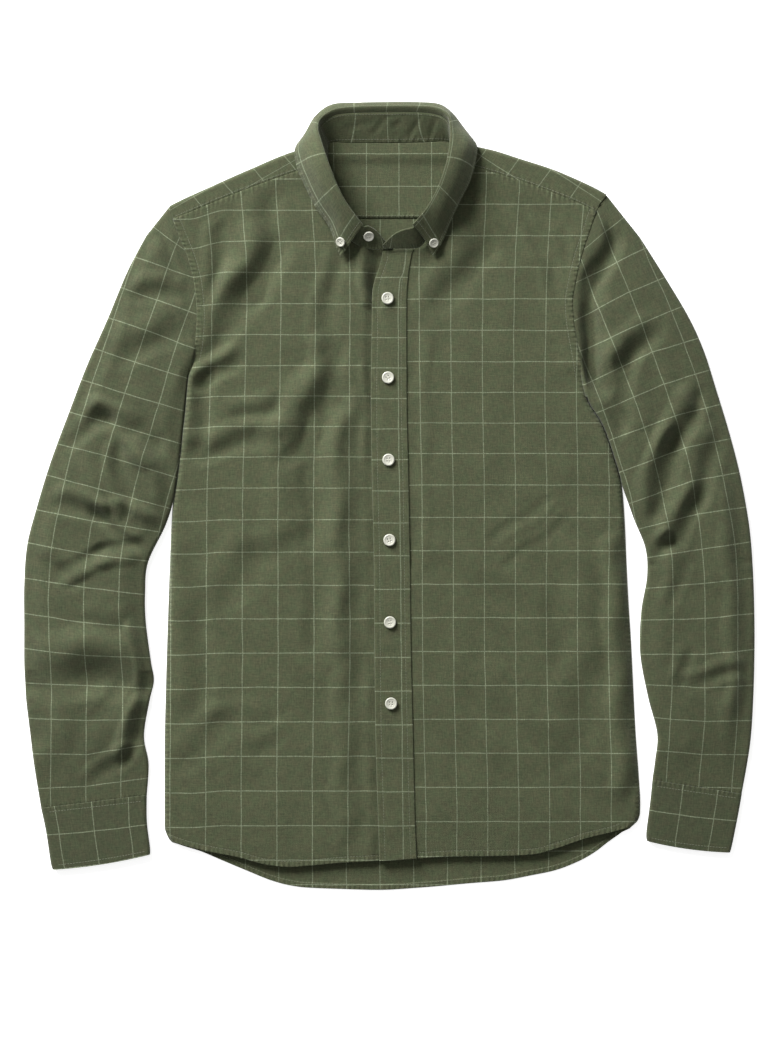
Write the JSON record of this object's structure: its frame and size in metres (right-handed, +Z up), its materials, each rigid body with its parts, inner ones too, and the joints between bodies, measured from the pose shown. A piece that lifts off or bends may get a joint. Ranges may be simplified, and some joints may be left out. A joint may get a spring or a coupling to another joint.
{
  "type": "button-down shirt",
  "caption": "Long-sleeved button-down shirt in green checked poplin, buttoned and laid flat front side up, collar standing open.",
  "frame": {"origin": "middle of the footprint on the table that the shirt lies on", "axes": "+X to the viewer's right across the shirt, +Y from the hem towards the collar, +Z up from the table"},
  "size_m": [0.7592, 0.8176, 0.0345],
  "materials": {
    "body_cloth": "matte checked cotton poplin",
    "yoke_cloth": "matte checked cotton poplin",
    "sleeve_cloth": "matte checked cotton poplin",
    "cuff_cloth": "matte checked cotton poplin",
    "placket_cloth": "matte checked cotton poplin",
    "collar_cloth": "matte checked cotton poplin",
    "button_white": "semi-gloss off-white resin"
  },
  "bodies": {
    "root": {"back": "body_cloth", "front_left": "body_cloth", "front_right": "body_cloth", "yoke": "yoke_cloth", "placket": "placket_cloth", "sleeve_left": "sleeve_cloth", "sleeve_right": "sleeve_cloth", "cuff_left": "cuff_cloth", "cuff_right": "cuff_cloth", "collar_stand": "collar_cloth", "collar_leaf": "collar_cloth", "button_1": "button_white", "button_2": "button_white", "button_3": "button_white", "button_4": "button_white", "button_5": "button_white", "button_6": "button_white", "button_stand": "button_white", "button_point_left": "button_white", "button_point_right": "button_white"}
  },
  "joints": []
}
